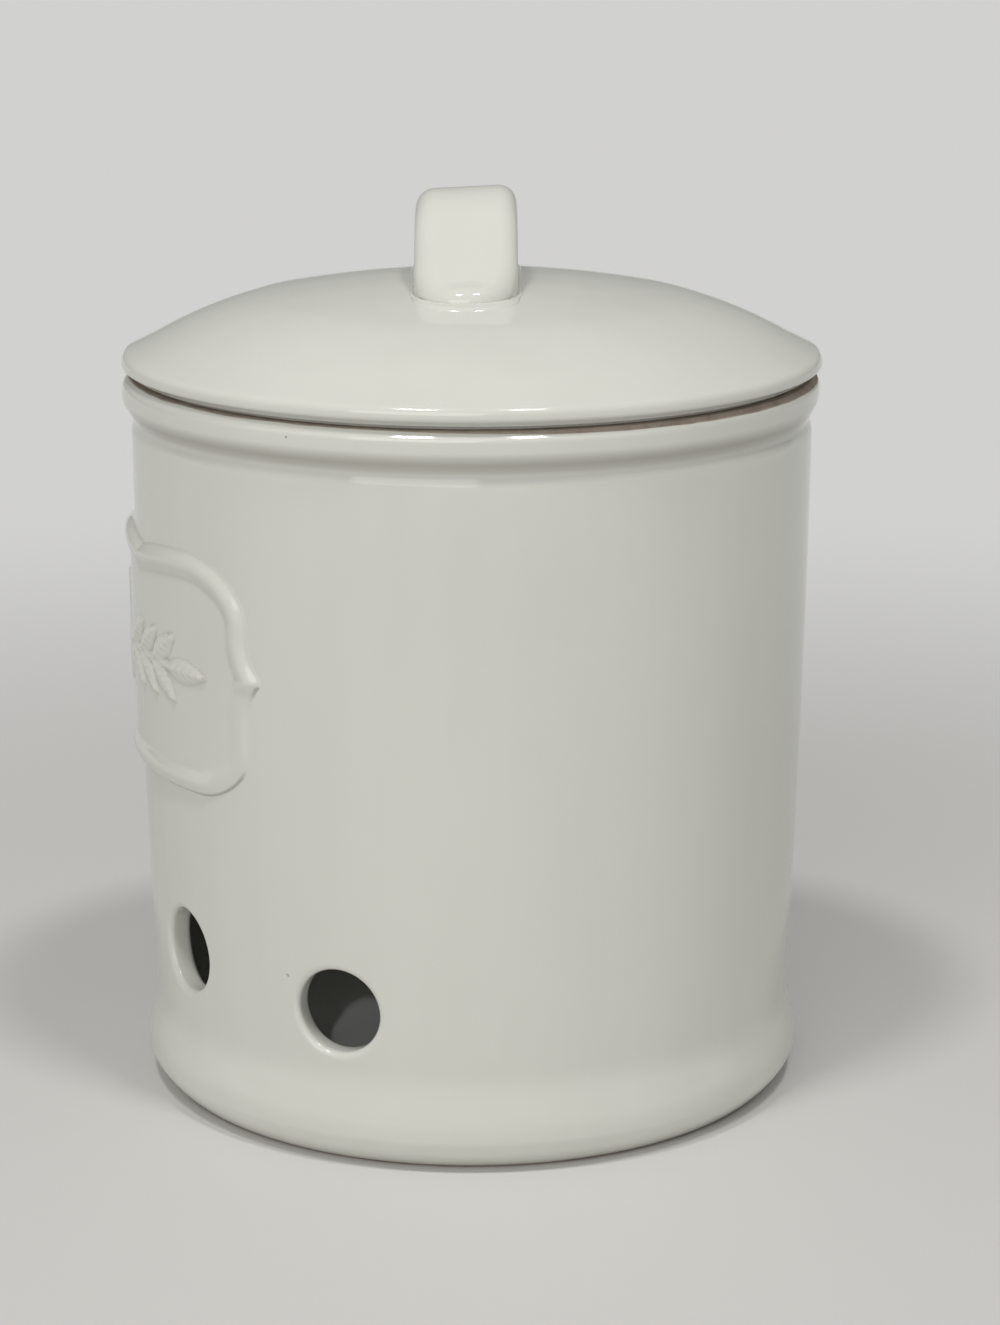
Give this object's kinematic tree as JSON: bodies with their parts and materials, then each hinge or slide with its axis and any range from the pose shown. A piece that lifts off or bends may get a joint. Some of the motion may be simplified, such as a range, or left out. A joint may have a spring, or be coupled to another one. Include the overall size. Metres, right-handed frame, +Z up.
{
  "type": "garlic keeper",
  "caption": "Lidded ceramic garlic keeper: round glazed jar with low vent holes and a raised label plaque, and a lift-off domed lid with a bow-shaped handle.",
  "frame": {"origin": "centre of the foot, on the surface that the jar stands on", "axes": "+Z up; -Y is the front, where the plaque and vent holes are; the long way of the lid's handle lies along X"},
  "size_m": [0.144, 0.144, 0.1871],
  "materials": {
    "ivory_glaze": "glossy ivory-white glaze on stoneware, bare clay on the foot ring, the rim and the lid's seat"
  },
  "bodies": {
    "jar": {"jar_body": "ivory_glaze", "label_plaque": "ivory_glaze", "plaque_emblem": "ivory_glaze"},
    "lid_assembly": {"lid": "ivory_glaze", "lid_handle": "ivory_glaze"}
  },
  "joints": [
    {"name": "lid_lift", "type": "slide", "parent": "jar", "child": "lid_assembly", "axis": [0, 0, 1], "range_m": [0, 0.15]}
  ]
}
